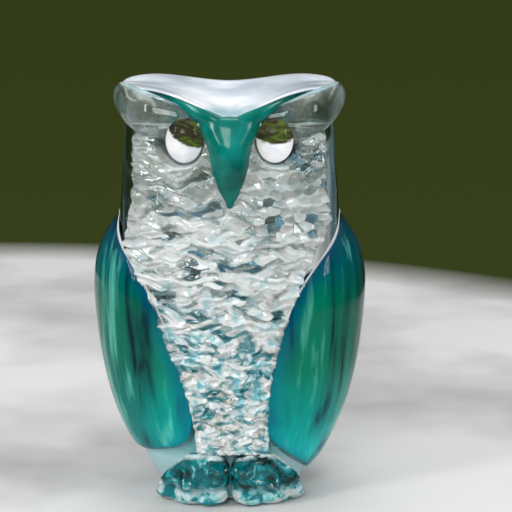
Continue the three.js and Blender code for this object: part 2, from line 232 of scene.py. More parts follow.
# Brow lobe: [share of the way, x, y, z, half height, half thickness]
BROW_PATH = [
    [0, 7, -20.4, 106.0, 2.2, 2.4],
    [0.2, 11.6, -20.0, 104.9, 4.2, 2.4],
    [0.4, 16.2, -19.2, 104.4, 6.0, 3.0],
    [0.6, 20.8, -16.8, 105.8, 6.2, 4.2],
    [0.8, 25.4, -12.0, 107.6, 6.0, 4.2],
    [1, 29.7, -3.0, 110.2, 5.6, 3.8],
]
BROW_TURN = 1.2  # how far a brow lobe's section turns by its outer end, in radians
# How blunt a drop's near and far ends are: 0 is square and 1 an ellipse
DROP_END = (0.75, 0.5)
# Beak: [height, half width, how far it stands out]
BEAK = [
    [81.5, 1.0, 5.0],
    [83, 2.1, 5.3],
    [86.5, 3.4, 5.9],
    [89.2, 4.3, 6.4],
    [93, 5.1, 6.8],
    [98.3, 6.0, 7.0],
    [102.5, 7.8, 5.8],
    [106.4, 9.2, 5.0],
]
BEAK_GAP = 0.05  # between the beak and the crown
BEAK_BACK = -21.6  # where the beak is at its half width
BEAK_TIP = 0.6  # how blunt the tip is: 0 is square and 1 an ellipse
BEAK_TOP = 6  # how square the top is: 2 is an ellipse
# Beak arm: [share of the way out, half height]
ARM = [[0, 2.6], [0.41, 2.4], [0.55, 1.8], [0.7, 1.1], [1, 0.7]]
ARM_X = (-4, 25.5)  # where it starts and ends
ARM_DROP = 0.5  # how far under and before the crown's edge it runs
ARM_OUT = 0.8  # how much further before the edge it ends
ARM_THICK = (1.8, 0.6)  # half its thickness at the beak, and what it loses on the way
ARM_TURN = 0.7


# ---- Curves and closed forms ----


def through(stations, column=1):
    """A smooth curve through [t, value] stations, as a function of t."""
    t = np.array([s[0] for s in stations], float)
    v = np.array([s[column] for s in stations], float)
    before = np.maximum(np.arange(len(t)) - 1, 0)
    after = np.minimum(np.arange(len(t)) + 1, len(t) - 1)
    slope = (v[after] - v[before]) / (t[after] - t[before])

    def value(at):
        x = np.clip(at, t[0], t[-1])
        i = np.clip(np.searchsorted(t, x) - 1, 0, len(t) - 2)
        h = t[i + 1] - t[i]
        s = (x - t[i]) / h
        start = v[i] * (1 + 2 * s) * (1 - s) ** 2 + slope[i] * h * s * (1 - s) ** 2
        end = v[i + 1] * s * s * (3 - 2 * s) + slope[i + 1] * h * s * s * (s - 1)
        return start + end

    return value


body_width, body_depth, body_square = (through(BODY, c) for c in (1, 2, 3))
flame_width, flame_depth = (through(FLAME, c) for c in (1, 2))
wing_thick = through(WING_THICK)
back_edge = through(BACK_EDGE)
front_edge = {side: through(FRONT_EDGE[side]) for side in SIDES}
mark_width, mark_height, mark_depth = (through(MARKS, c) for c in (1, 2, 3))
brow_x, brow_y, brow_z, brow_tall, brow_thick = (through(BROW_PATH, c) for c in (1, 2, 3, 4, 5))
beak_half, beak_reach = (through(BEAK, c) for c in (1, 2))
arm_height = through(ARM)
foot_top = through(FOOT_TOP)


def lerp(a, b, share):
    return a + (b - a) * share


def smooth(x, low, high):
    s = np.clip((x - low) / (high - low), 0, 1)
    return s * s * (3 - 2 * s)


def arch(x, power=4):
    """The height of a rounded square of that power over x, which runs from -1 to 1."""
    return np.maximum(0, 1 - np.abs(x) ** power) ** (1 / power)


def signed_power(value, power):
    return np.sign(value) * np.abs(value) ** power


def on_body(angle, z, grow):
    """Points on the body, grown outwards. angle is 0 at the front and a quarter turn at +X."""
    square = body_square(z)
    reach = (np.abs(np.sin(angle)) ** square + np.abs(np.cos(angle)) ** square) ** (-1 / square)
    x = (body_width(z) + grow) * np.sin(angle) * reach
    y = -(body_depth(z) + grow) * np.cos(angle) * reach
    return np.stack(np.broadcast_arrays(x, y, z), -1)


def angle_at(x, z, grow):
    """The angle at which the body, grown, is x from the middle, on its front half."""
    share = np.clip(x / (body_width(z) + grow), 0, 1)
    return np.arctan2(share, arch(share, body_square(z)))


def bar_section(turn, end, power=3):
    """A flat bar's rounded section: across runs from -1 to 1, lift from 0 underneath to 1 on top."""
    across = np.cos(turn)
    lift = np.sign(np.sin(turn)) * arch(across, power)
    return across * end, (1 + lift * end) / 2


def height_at(rise, low, high):
    return (low + high) / 2 - (high - low) / 2 * np.cos(rise)


def wavering(value, waves, x, z):
    """value with waves added, each of them [size, radians for each x, radians for each z]."""
    for size, across, up in waves:
        value = value + size * np.sin(across * x + up * z)
    return value


def closed_form(name, point_at, around, along, marks=None):
    """A closed mesh over a grid: turn runs once round, and rise from one pole to the other.
    marks are numbers that the material reads at each vertex, as functions of turn and rise."""
    turn = np.linspace(0, 2 * pi, around, endpoint=False)[None, :]
    rise = np.linspace(0, pi, along + 1)[1:-1, None]
    turn, rise = np.broadcast_arrays(turn, rise)
    rings = point_at(turn, rise).reshape(-1, 3)
    ends = [point_at(np.zeros((1, 1)), np.full((1, 1), end)).reshape(3) for end in (0.0, pi)]
    points = np.vstack([rings, ends]) * MM
    rows = along - 1
    faces = []
    for r in range(rows - 1):
        for c in range(around):
            d = (c + 1) % around
            faces.append((r * around + c, r * around + d, (r + 1) * around + d, (r + 1) * around + c))
    first = rows * around
    last = first + 1
    for c in range(around):
        d = (c + 1) % around
        faces.append((first, d, c))
        faces.append((last, (rows - 1) * around + c, (rows - 1) * around + d))
    piece = mesh_object(name, points, faces)
    for mark, value_at in (marks or {}).items():
        values = np.concatenate([value_at(turn, rise).ravel(), np.zeros(2)])
        layer = piece.data.attributes.new(mark, "FLOAT", "POINT")
        layer.data.foreach_set("value", values.astype(np.float32))
    return piece


def mesh_object(name, points, faces):
    """A smooth-shaded mesh object whose faces point out."""
    mesh = bpy.data.meshes.new(name)
    mesh.from_pydata([tuple(p) for p in points], [], faces)
    work = bmesh.new()
    work.from_mesh(mesh)
    bmesh.ops.recalc_face_normals(work, faces=work.faces)
    if work.calc_volume(signed=True) < 0:
        bmesh.ops.reverse_faces(work, faces=work.faces)
    work.to_mesh(mesh)
    work.free()
    mesh.shade_smooth()
    piece = bpy.data.objects.new(name, mesh)
    bpy.context.scene.collection.objects.link(piece)
    return piece


def show(piece, material, node):
    """Finishes a piece: its material, its body, and the CAD node it stands for, which it hides."""
    piece.data.materials.clear()
    piece.data.materials.append(material)
    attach(piece, "root")
    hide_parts(node)


# ---- Materials ----

NOISE = (0.3, 0.7)  # where nearly all of a noise's values lie
UPRIGHT = (1, 1, 0.1)  # the stretch that draws a noise out into upright bands
CLEAR = (1.0, 1.0, 1.0)
# The heights over which one look gives way to the next
# the wing casing's painted highlight: more of it at the shoulder, and the heights over which it grows in
CASING_SHOULDER_HIGHLIGHT = (68, 77)
CASING_RIM_HIGHLIGHT = (30, 60)
# painted shade on the head's flanks, between these heights
SHADED_FLANKS = (56, 66)
BODY_FOOT = (11, 17)
BODY_MILK = (12, 20)
BODY_TEAL = (18, 48)
BREAST_FLECKS = (40, 62)
BREAST_TINTS = (44, 66)
BREAST_MILK = (64, 88)
BREAST_SMOKE = (72, 90)
FOOT_PALE = (3.5, 6.5)
WING_RANGE = (0, 80)
# painted shade at a wing's edges, blue low down and navy at the shoulder
WING_EDGE_SHADE = (25, 60)
# the heights over which the crown's painted shade fades out
CROWN_SHADE = (106.8, 109.5)


class Nodes:
    """The nodes of a material or a world, and short ways to build them."""

    def __init__(self, owner):
        owner.use_nodes = True
        self.owner = owner
        self.tree = owner.node_tree
        self.tree.nodes.clear()

    def add(self, kind, inputs=None, **settings):
        node = self.tree.nodes.new(kind)
        for key, value in settings.items():
            setattr(node, key, value)
        for key, value in (inputs or {}).items():
            if isinstance(value, bpy.types.NodeSocket):
                self.tree.links.new(value, node.inputs[key])
            else:
                node.inputs[key].default_value = value
        return node

    def place(self):
        """A point's place in the owl's own space, in metres."""
        return self.add("ShaderNodeTexCoord").outputs["Object"]

    def height(self):
        """The height above the ground, in millimetres."""
        up = self.add("ShaderNodeSeparateXYZ", {"Vector": self.place()}).outputs["Z"]
        return self.math("DIVIDE", up, MM)

    def mark(self, name):
        """A number that the mesh holds at each vertex."""
        return self.add("ShaderNodeAttribute", attribute_name=name).outputs["Fac"]

    def math(self, operation, a, b):
        return self.add("ShaderNodeMath", {0: a, 1: b}, operation=operation).outputs["Value"]

    def noise(self, scale, stretch=(1, 1, 1), detail=3.0, roughness=0.5, distortion=0.0):
        """Noise in the owl's own space; scale is per metre."""
        mapped = self.add("ShaderNodeMapping", {"Vector": self.place(), "Scale": stretch})
        made = self.add(
            "ShaderNodeTexNoise",
            {
                "Vector": mapped.outputs["Vector"],
                "Scale": scale,
                "Detail": detail,
                "Roughness": roughness,
                "Distortion": distortion,
            },
        )
        return made.outputs["Fac"]

    def ramp(self, value, *stops):
        """Colours over a value, each stop being (place, colour)."""
        node = self.add("ShaderNodeValToRGB", {"Fac": value})
        elements = node.color_ramp.elements
        while len(elements) > 1:
            elements.remove(elements[-1])
        for i, (place, colour) in enumerate(stops):
            stop = elements[0] if i == 0 else elements.new(place)
            stop.position = place
            stop.color = (*colour, 1)
        return node.outputs["Color"]

    def spread(self, value, low, high, out_low=0.0, out_high=1.0):
        """value from low to high, as a number from out_low to out_high."""
        limits = {"From Min": low, "From Max": high, "To Min": out_low, "To Max": out_high}
        return self.add("ShaderNodeMapRange", {"Value": value, **limits}).outputs["Result"]

    def mix(self, share, a, b, blend="MIX"):
        """Colour a, with b over it by a share."""
        a, b = ((*c, 1) if isinstance(c, tuple) else c for c in (a, b))
        node = self.add("ShaderNodeMix", {0: share, 6: a, 7: b}, data_type="RGBA", blend_type=blend)
        return node.outputs[2]

    def bump(self, height, strength):
        """Bumps up to a millimetre high."""
        made = self.add("ShaderNodeBump", {"Height": height, "Strength": strength, "Distance": 0.001})
        return made.outputs["Normal"]

    def surface(self, inputs, volume=None):
        """Ends the material in one shader. volume gives the colour and density of an absorbing inside."""
        sockets = {"Surface": self.add("ShaderNodeBsdfPrincipled", inputs).outputs["BSDF"]}
        if volume:
            inside = {"Color": (*volume[0], 1), "Density": volume[1]}
            sockets["Volume"] = self.add("ShaderNodeVolumeAbsorption", inside).outputs["Volume"]
        self.add("ShaderNodeOutputMaterial", sockets)
        return self.owner


def new_material(name):
    return Nodes(bpy.data.materials.new(name))


def lens_glass():
    """An eye's clear glass, with the faintest waves."""
    n = new_material("lens_glass")
    waves = n.noise(70, detail=2)
    inputs = {
        "Base Color": n.ramp(waves, (0.4, (0.97, 0.98, 0.98)), (0.6, CLEAR)),
        "IOR": 1.2,
        "Transmission Weight": 1.0,
        "Roughness": n.spread(waves, *NOISE, 0.02, 0.0),
        "Normal": n.bump(waves, 0.02),
    }
    return n.surface(inputs)


def lobe_glass():
    """A brow lobe's glass: clear and a little smoky in upright bands, with pale blue edges painted as a
    highlight.
    """
    n = new_material("lobe_glass")
    bands = n.noise(130, stretch=UPRIGHT, detail=4, roughness=0.6)
    smoky = n.ramp(
        bands,
        (0.38, (0.20, 0.27, 0.22)),
        (0.50, (0.50, 0.58, 0.52)),
        (0.60, (0.90, 0.95, 0.92)),
    )
    # The pale blue edge is a painted highlight along the lobe's rim.
    edge = n.spread(n.mark("rim"), 0.90, 0.99)
    inputs = {
        "Base Color": n.mix(edge, smoky, (0.55, 0.82, 0.88)),
        "IOR": 1.35,
        "Transmission Weight": n.spread(edge, 0, 1, 0.90, 0.55),
        "Roughness": n.spread(bands, *NOISE, 0.03, 0.0),
        "Normal": n.bump(n.noise(110, detail=2), 0.3),
    }
    return n.surface(inputs)


def casing_glass():
    """The clear casing of a wing, whose very edge is painted pale as a highlight, most of all at the
    shoulder.
    """
    n = new_material("casing_glass")
    waves = n.noise(70, stretch=(1, 1, 0.4), detail=2)
    # Painted highlight: the very edge, and more of it at the shoulder, turns pale and less clear, growing in
    # with height.
    shoulder_highlight = n.spread(n.height(), *CASING_SHOULDER_HIGHLIGHT, 0.0, 0.05)
    rim_highlight = n.spread(n.math("ADD", n.mark("rim"), shoulder_highlight), 0.985, 1.0, 0.0, 0.55)
    rim_highlight = n.math("MULTIPLY", rim_highlight, n.spread(n.height(), *CASING_RIM_HIGHLIGHT))
    inputs = {
        "Base Color": n.ramp(waves, (0.3, (0.86, 0.95, 0.95)), (0.6, CLEAR)),
        "IOR": 1.2,
        "Transmission Weight": n.math("SUBTRACT", 1.0, rim_highlight),
        "Roughness": n.spread(waves, *NOISE, 0.0, 0.04),
        "Normal": n.bump(waves, 0.1),
    }
    return n.surface(inputs)


def body_glass():
    """The body's clear glass: milky at the foot, teal low down, with painted blue-grey shade in upright bands
    on the head's flanks.
    """
    n = new_material("body_glass")
    height = n.height()
    bands = n.noise(130, stretch=UPRIGHT, detail=4, roughness=0.6)
    clear = n.ramp(bands, (0.40, (0.55, 0.66, 0.68)), (0.50, (0.92, 0.96, 0.96)), (0.56, CLEAR))
    # Painted shade: dark blue-grey bands on the head's sides.
    flank_shade = n.ramp(
        bands,
        (0.46, (0.02, 0.06, 0.09)),
        (0.54, (0.10, 0.19, 0.22)),
        (0.64, (0.34, 0.46, 0.50)),
    )
    side = n.math("MULTIPLY", n.spread(n.mark("flank_shade"), 0.70, 0.86), n.spread(height, *SHADED_FLANKS))
    low = n.mix(n.spread(height, *BODY_FOOT), (0.62, 0.88, 0.93), (0.45, 0.96, 1.0))
    inputs = {
        "Base Color": n.mix(n.spread(height, *BODY_TEAL), low, n.mix(side, clear, flank_shade)),
        "IOR": 1.5,
        "Transmission Weight": n.spread(height, *BODY_MILK, 0.45, 1.0),
        "Roughness": n.spread(bands, *NOISE, 0.04, 0.0),
        "Normal": n.bump(n.noise(70, detail=2), 0.2),
    }
    return n.surface(inputs, volume=((0.55, 0.90, 0.90), 3.0))


def hammered_glass():
    """The breast's glass, milky in clouds: teal flecks and tints low down, blue flecks and smoke higher up.
    Its palest facets and ridges turn milky white, partly as painted glints. It is plain and clear where the
    plate thins out."""
    n = new_material("hammered_glass")
    cloud = n.noise(75, detail=5, roughness=0.6, distortion=0.5)
    # The fleck mark carries each facet's own tone and the ridges' painted highlight.
    tone = n.math("ADD", n.mark("fleck_and_highlight"), n.spread(cloud, *NOISE, -0.15, 0.15))
    low = n.ramp(
        tone,
        (0.06, (0.0, 0.20, 0.24)),
        (0.17, (0.0, 0.58, 0.66)),
        (0.28, (0.35, 0.88, 0.92)),
        (0.40, (0.99, 1.0, 1.0)),
    )
    high = n.ramp(
        tone,
        (0.08, (0.08, 0.12, 0.10)),
        (0.16, (0.02, 0.32, 0.55)),
        (0.24, (0.45, 0.56, 0.54)),
        (0.44, (0.96, 0.98, 0.97)),
    )
    tint = n.ramp(
        n.noise(260, detail=2, roughness=0.5),
        (0.36, (0.10, 0.58, 0.68)),
        (0.44, (0.72, 0.92, 0.94)),
        (0.50, CLEAR),
        (0.58, CLEAR),
        (0.68, (0.56, 0.54, 0.46)),
    )
    colour = n.mix(n.spread(n.height(), *BREAST_FLECKS), low, high)
    colour = n.mix(n.spread(n.height(), *BREAST_TINTS, 0.85, 0.25), colour, tint, "MULTIPLY")
    colour = n.mix(n.spread(n.height(), *BREAST_SMOKE, 0.0, 0.45), colour, (0.42, 0.50, 0.46))
    above = n.spread(n.mark("bloom"), 0.15, 0.25)
    # Low down, the palest facets turn milky white: partly milk, partly painted glints.
    milk_and_glints_low = n.spread(tone, 0.24, 0.60, 0.20, 0.62)
    milk_high = n.spread(cloud, 0.35, 0.65, 0.10, 0.50)
    cloudy = n.spread(n.height(), *BREAST_MILK, milk_and_glints_low, milk_high)
    milk = n.math("MULTIPLY", n.spread(n.mark("bloom"), 0.2, 0.6), cloudy)
    inputs = {
        "Base Color": n.mix(above, CLEAR, colour),
        "IOR": n.spread(above, 0, 1, 1.0, 1.5),
        "Transmission Weight": n.math("SUBTRACT", 1.0, milk),
        "Roughness": n.spread(cloud, *NOISE, 0.0, 0.04),
        "Normal": n.bump(n.noise(450, detail=2), 0.25),
        "Coat Weight": n.math("MULTIPLY", above, 0.4),
        "Coat Roughness": 0.02,
    }
    return n.surface(inputs)


def foot_glass():
    """The feet's glass: dark and teal patches and white specks, painted in for the teal core seen through the
    glass and for highlights, over a pale sole and under a pale upper rim painted as a highlight.
    """
    n = new_material("foot_glass")
    patches = n.noise(200, detail=4, roughness=0.6, distortion=0.8)
    # Painted: near-black and teal patches for the core seen through the glass, and white specks as
    # highlights.
    teal = n.ramp(
        patches,
        (0.40, (0.003, 0.018, 0.015)),
        (0.47, (0.0, 0.09, 0.10)),
        (0.56, (0.0, 0.22, 0.25)),
        (0.62, (0.03, 0.55, 0.60)),
        (0.68, (0.95, 1.0, 1.0)),
    )
    pale = n.ramp(patches, (0.42, (0.0, 0.22, 0.25)), (0.49, (0.30, 0.75, 0.78)), (0.56, CLEAR))
    colour = n.mix(n.spread(n.height(), *FOOT_PALE), pale, teal)
    # Painted highlight along the top edge of each foot.
    edge = n.math("MULTIPLY", n.spread(n.mark("rim"), 0.80, 0.95), n.spread(patches, 0.40, 0.55))
    inputs = {
        "Base Color": n.mix(edge, colour, (0.85, 0.98, 0.98)),
        "IOR": 1.4,
        "Transmission Weight": n.spread(patches, 0.4, 0.6, 0.15, 0.5),
        "Roughness": 0.01,
        "Normal": n.bump(n.noise(350, detail=2), 0.5),
    }
    return n.surface(inputs)


def wing_glass():
    """Dense teal-green glass streaked from top to bottom, bright low down, with painted highlights on its
    palest streaks and painted blue shade at its shoulder and edges.
    """
    n = new_material("wing_glass")
    # By height: bright teal low down, and navy at the top as painted shade on the shoulder.
    by_height = n.ramp(
        n.spread(n.height(), *WING_RANGE),
        (0.12, (0.0, 0.80, 0.80)),
        (0.28, (0.0, 0.52, 0.45)),
        (0.48, (0.0, 0.27, 0.16)),
        (0.72, (0.0, 0.21, 0.12)),
        (0.84, (0.0, 0.14, 0.19)),
        (0.96, (0.0, 0.05, 0.13)),
    )
    streaks = n.noise(150, stretch=(1, 1, 0.08), detail=5, roughness=0.55, distortion=0.35)
    strength = n.ramp(streaks, (0.36, (0.16, 0.16, 0.30)), (0.45, (0.70, 0.70, 0.75)), (0.55, CLEAR))
    depth = n.spread(n.noise(38, stretch=(1, 1, 0.35), detail=2), 0.38, 0.60, 0.42, 1.0)
    streaked = n.mix(1.0, n.mix(depth, (0.0, 0.10, 0.10), by_height), strength, "MULTIPLY")
    # Painted highlights on the palest streaks.
    lit = n.mix(n.spread(streaks, 0.58, 0.70, 0.0, 0.7), streaked, (0.20, 0.85, 0.70))
    # Painted shade: blue at the edges low down, navy at the shoulder.
    edge = n.mix(n.spread(n.height(), *WING_EDGE_SHADE), (0.0, 0.30, 0.40), (0.0, 0.08, 0.20))
    inputs = {
        "Base Color": n.mix(n.spread(n.mark("rim"), 0.86, 1.0, 0.0, 0.85), lit, edge),
        "IOR": 1.05,
        "Transmission Weight": 0.12,
        "Roughness": n.spread(streaks, *NOISE, 0.25, 0.4),
        "Normal": n.bump(streaks, 0.25),
    }
    return n.surface(inputs)


def teal_glass():
    """The beak's polished teal glass."""
    n = new_material("teal_glass")
    cloud = n.noise(120, detail=3)
    colour = n.ramp(
        cloud,
        (0.35, (0.0, 0.10, 0.085)),
        (0.5, (0.0, 0.15, 0.12)),
        (0.68, (0.005, 0.22, 0.19)),
    )
    inputs = {
        "Base Color": colour,
        "IOR": 1.3,
        "Transmission Weight": 0.12,
        "Roughness": n.spread(cloud, *NOISE, 0.10, 0.18),
        "Normal": n.bump(cloud, 0.1),
    }
    return n.surface(inputs)


def core_glass():
    """The colour core inside the body: cloudy teal, paler in places."""
    n = new_material("core_glass")
    cloud = n.noise(130, stretch=(1, 1, 0.5), detail=5, distortion=0.6)
    colour = n.ramp(
        cloud,
        (0.36, (0.0, 0.40, 0.46)),
        (0.46, (0.0, 0.76, 0.80)),
        (0.58, (0.05, 0.92, 0.94)),
        (0.70, (0.60, 0.98, 0.98)),
    )
    inputs = {
        "Base Color": colour,
        "IOR": 1.05,
        "Transmission Weight": 0.15,
        "Roughness": 0.3,
        "Normal": n.bump(cloud, 0.3),
    }
    return n.surface(inputs)


def white_glass():
    """The crown's milky white glass, with painted blue-grey shade where it dips lowest."""
    n = new_material("white_glass")
    cloud = n.noise(60, detail=3)
    milk = n.ramp(cloud, (0.36, (0.56, 0.64, 0.74)), (0.50, (0.72, 0.78, 0.86)), (0.64, (0.90, 0.92, 0.96)))
    dip = n.math("ADD", n.height(), n.spread(cloud, *NOISE, -2.0, 2.0))
    inputs = {
        # Painted shade, blue-grey, on the lowest part of the crown.
        "Base Color": n.mix(n.spread(dip, *CROWN_SHADE, 0.75, 0.0), milk, (0.20, 0.42, 0.46)),
        "IOR": 1.5,
        "Transmission Weight": n.spread(cloud, *NOISE, 0.35, 0.12),
        "Roughness": n.spread(cloud, *NOISE, 0.05, 0.14),
        "Normal": n.bump(cloud, 0.15),
        "Coat Weight": 0.25,
        "Coat Roughness": 0.02,
    }
    return n.surface(inputs)


def eye_foil(side, middle, radius):
    """The foil behind an eye, its colours a painted reflection: dark olive with a green swirl, over a pale
    crescent. The crescent is what lies far from a point above the eye."""
    n = new_material(f"eye_foil_{side}")
    above = Vector(middle) + Vector(EYE_SHADE[side]) * radius
    swirl = n.noise(330, stretch=(0.8, 1, 2.0), detail=4, distortion=1.6)
    apart = n.add("ShaderNodeVectorMath", {0: n.place(), 1: tuple(above)}, operation="DISTANCE")
    reach = n.math("DIVIDE", apart.outputs["Value"], radius)
    reach = n.math("ADD", reach, n.spread(swirl, *NOISE, -0.06, 0.06))
    dark_reflection = n.ramp(
        swirl,
        (0.36, (0.006, 0.006, 0.002)),
        (0.46, (0.035, 0.020, 0.006)),
        (0.54, (0.035, 0.055, 0.004)),
        (0.64, (0.10, 0.16, 0.01)),
    )
    pale = n.ramp(n.noise(260, detail=3), (0.4, (0.86, 0.86, 0.93)), (0.6, CLEAR))
    edge = Vector(EYE_SHADE[side]).length + CRESCENT_LOW
    # Painted reflection: dark above, a pale crescent below.
    colour = n.mix(n.spread(reach, edge, edge + CRESCENT_BLUR), dark_reflection, pale)
    return n.surface({"Base Color": colour, "Roughness": 0.3, "Normal": n.bump(swirl, 0.1)})


# Where each eye's painted dark reflection is centred, in eye radii from the eye's middle
EYE_SHADE = {"left": (0.75, 0, 1.25), "right": (0.0, 0, 1.35)}
CRESCENT_LOW = 0.14  # how far below the eye's middle the dark patch ends, in eye radii
CRESCENT_BLUR = 0.1

BODY_GLASS = body_glass()
CASING = casing_glass()
LOBE = lobe_glass()
LENS = lens_glass()
HAMMERED = hammered_glass()
FOOT_GLASS = foot_glass()
WING = wing_glass()
TEAL = teal_glass()
CORE = core_glass()
WHITE = white_glass()


# ---- Body ----


def trunk():
    """The head and body in one, its ends flat with rounded edges."""
    low, high = core_low[2], core_high[2]
    edge_low, edge_high = BODY_EDGE
    around, along = 220, 150

    def point_at(turn, rise):
        share = rise / pi * (along + 1.0)
        level = np.clip((share - 1) / (along - 1), 0, 1)
        z = lerp(low, high, level)
        inset = edge_low * (1 - arch(np.clip(1 - (z - low) / edge_low, 0, 1), 2))
        inset = inset + edge_high * (1 - arch(np.clip(1 - (high - z) / edge_high, 0, 1), 2))
        points = on_body(turn, z, -inset)
        flat = (rise == 0) | (rise == pi)
        points[..., :2] = np.where(flat[..., None], 0, points[..., :2])
        return points

    # How far round to the side a point is; the material paints shade there.
    def flank_shade(turn, rise):
        return np.abs(np.sin(turn))

    return closed_form("body_core", point_at, around, along, {"flank_shade": flank_shade})


def flame():
    """The colour core: a rippled flame, blunt at both ends."""

    def point_at(turn, rise):
        end = arch(np.cos(rise))
        z = height_at(rise, flame_low[2], flame_high[2])
        ripple = wavering(1, FLAME_RIPPLES, turn, z)
        x = flame_width(z) * end * np.sin(turn) * ripple
        y = -flame_depth(z) * end * np.cos(turn) * ripple
        return np.stack([x, y, z], -1)

    return closed_form("colour_core", point_at, 96, 90)


show(trunk(), BODY_GLASS, "body_core")
show(flame(), CORE, "colour_core")


# ---- Wings ----


def wing_layer(name, side, share, inset, under):
    """A layer of one wing, from a height of under over the body to a share of the wing's thickness, with its
    edges drawn in by inset."""
    low, high = node_box(f"wing_{side}_casing")
    bottom, top = low[2] + inset, high[2] - inset

    def rim(turn, rise):
        return np.maximum(np.abs(np.cos(turn)), np.abs(np.cos(rise)) ** 2)

    def point_at(turn, rise):
        z = height_at(rise, bottom, top)
        thick = wing_thick(z)
        front = angle_at(front_edge[side](z) + inset, z, thick / 2)
        back = pi - angle_at(back_edge(z) + inset, z, thick / 2)
        end = arch(np.cos(rise), np.where(np.cos(rise) > 0, *WING_END))
        across, lift = bar_section(turn, end, WING_SECTION)
        angle = (front + back) / 2 - (back - front) / 2 * across
        return on_body(SIDES[side] * angle, z, lerp(under, thick * share, lift))

    return closed_form(name, point_at, 150, 130, {"rim": rim})


for side in SIDES:
    casing = wing_layer(f"wing_{side}_casing", side, 1, 0, -FUSE)
    show(casing, CASING, f"wing_{side}_casing")
    colour = wing_layer(f"wing_{side}_colour", side, COLOUR_SHARE, COLOUR_INSET, COLOUR_LIFT)
    show(colour, WING, f"wing_{side}_colour")


# ---- Crown ----

CROWN_HALF = crown_high[0]
CROWN_FRONT = -crown_low[1]
CROWN_BACK = crown_high[1]
CROWN_RIM = 1.7
RIM_RUN = 0.55  # how far back the rim's thickness reaches, as a share of the way to the crest
# How square the crown is from above, at its front, back and sides: 2 is an ellipse
FRONT_SQUARE = 1.65
BACK_SQUARE = 2.6
SIDE_SQUARE = 2.1
# The height of the front edge in the middle and how it rises to the tufts
FRONT_Z = 106.7
FRONT_RISE = 6.6
TUFT_X = 22
TUFT_POWER = 1.25
# The crest across the head, from which the crown falls to the nape
CREST_Y = 5
CREST_Z = 112.8
CREST_RISE = 3.0
CREST_X = 26
NAPE_FALL = 2.2
TUFT_FOOT = 2.6  # how far the underside lifts under the tufts


def crown_front_y(x):
    return -CROWN_FRONT * (1 - np.minimum(np.abs(x) / CROWN_HALF, 1) ** FRONT_SQUARE)


def crown_front_z(x):
    return FRONT_Z + FRONT_RISE * np.sin(pi / 2 * np.minimum(np.abs(x) / TUFT_X, 1)) ** TUFT_POWER


def crown_crest_z(x):
    return CREST_Z + CREST_RISE * smooth(np.abs(x), 0, CREST_X)


def crown(grow=0.0):
    """The saddle of white glass on the head, grown outwards."""

    def point_at(turn, rise):
        reach = arch(np.cos(rise), 3)
        front = np.cos(turn) > 0
        power = np.where(front, 2 / FRONT_SQUARE, 2 / BACK_SQUARE)
        depth = np.where(front, CROWN_FRONT, CROWN_BACK)
        x = (CROWN_HALF + grow) * signed_power(np.sin(turn), 2 / SIDE_SQUARE) * reach
        y = -(depth + grow) * signed_power(np.cos(turn), power) * reach
        front_y = crown_front_y(x)
        share = np.clip((y - front_y) / (CREST_Y - front_y), 0, 1)
        behind = np.maximum(0, (y - CREST_Y) / (CROWN_BACK - CREST_Y))
        top = lerp(crown_front_z(x), crown_crest_z(x), share) - NAPE_FALL * behind**2 + grow
        flat = crown_low[2] + TUFT_FOOT * smooth(np.abs(x), TUFT_X, CROWN_HALF) - FUSE - grow
        foot = np.maximum(flat, lerp(top - CROWN_RIM, flat, smooth(share, 0, RIM_RUN)))
        return np.stack([x, y, lerp(foot, top, (1 + np.cos(rise)) / 2)], -1)

    return closed_form("crown_cap", point_at, 200, 60)


show(crown(), WHITE, "crown_cap")


# ---- Beak and brow lobes ----


def drop(name, path_at, tall, thick, heading, around=48, along=90, marks=None):
    """A drop of glass along a path: at each step an oval, turned to its heading."""

    def point_at(turn, rise):
        s = (1 - np.cos(rise)) / 2
        end = np.sin(rise) ** np.where(np.cos(rise) > 0, *DROP_END)
        x, y, z = path_at(s)
        out = thick(s) * end * np.cos(turn)
        up = tall(s) * end * np.sin(turn)
        angle = heading(s)
        return np.stack([x + np.sin(angle) * out, y - np.cos(angle) * out, z + up], -1)

    return closed_form(name, point_at, around, along, marks)


def beak_arm(side):
    """One of the beak's two arms, which runs out along the crown's front edge."""
    sign = SIDES[side]

    def path_at(s):
        x = lerp(*ARM_X, s)
        y = crown_front_y(x) - ARM_DROP - ARM_OUT * s
        return sign * x, y, crown_front_z(x) - ARM_DROP - arm_height(s)

    def thick(s):
        return ARM_THICK[0] - ARM_THICK[1] * s

    return drop(f"arm_{side}", path_at, arm_height, thick, lambda s: sign * s * ARM_TURN)


def beak_keel():
    """The beak itself: a blunt tip below, widening up to the crown."""

    def point_at(turn, rise):
        end = np.where(np.cos(rise) > 0, np.sin(rise) ** BEAK_TIP, arch(np.cos(rise), BEAK_TOP))
        z = height_at(rise, BEAK[0][0], BEAK[-1][0])
        x = beak_half(z) * np.sin(turn) * end
        y = BEAK_BACK - beak_reach(z) * np.cos(turn) * end
        return np.stack([x, y, z], -1)

    return closed_form("beak", point_at, 64, 80)


def combined(base, operation, *others):
    """base joined with the others, or cut by them, as one closed solid."""
    for other in others:
        join = base.modifiers.new("join", "BOOLEAN")
        join.operation = operation
        join.solver = "MANIFOLD"
        join.object = other
    bpy.context.view_layer.update()
    depsgraph = bpy.context.evaluated_depsgraph_get()
    mesh = bpy.data.meshes.new_from_object(base.evaluated_get(depsgraph))
    base.modifiers.clear()
    base.data = mesh
    for other in others:
        bpy.data.objects.remove(other)
    return base


def brow(side):
    """A clear lobe over one eye, from the beak out to the tuft."""
    sign = SIDES[side]
    return drop(
        f"brow_{side}",
        lambda s: (sign * brow_x(s), brow_y(s), brow_z(s)),
        brow_tall,
        brow_thick,
        lambda s: sign * s * s * BROW_TURN,
        around=72,
        along=110,
        marks={"rim": lambda turn, rise: np.abs(np.sin(turn))},
    )


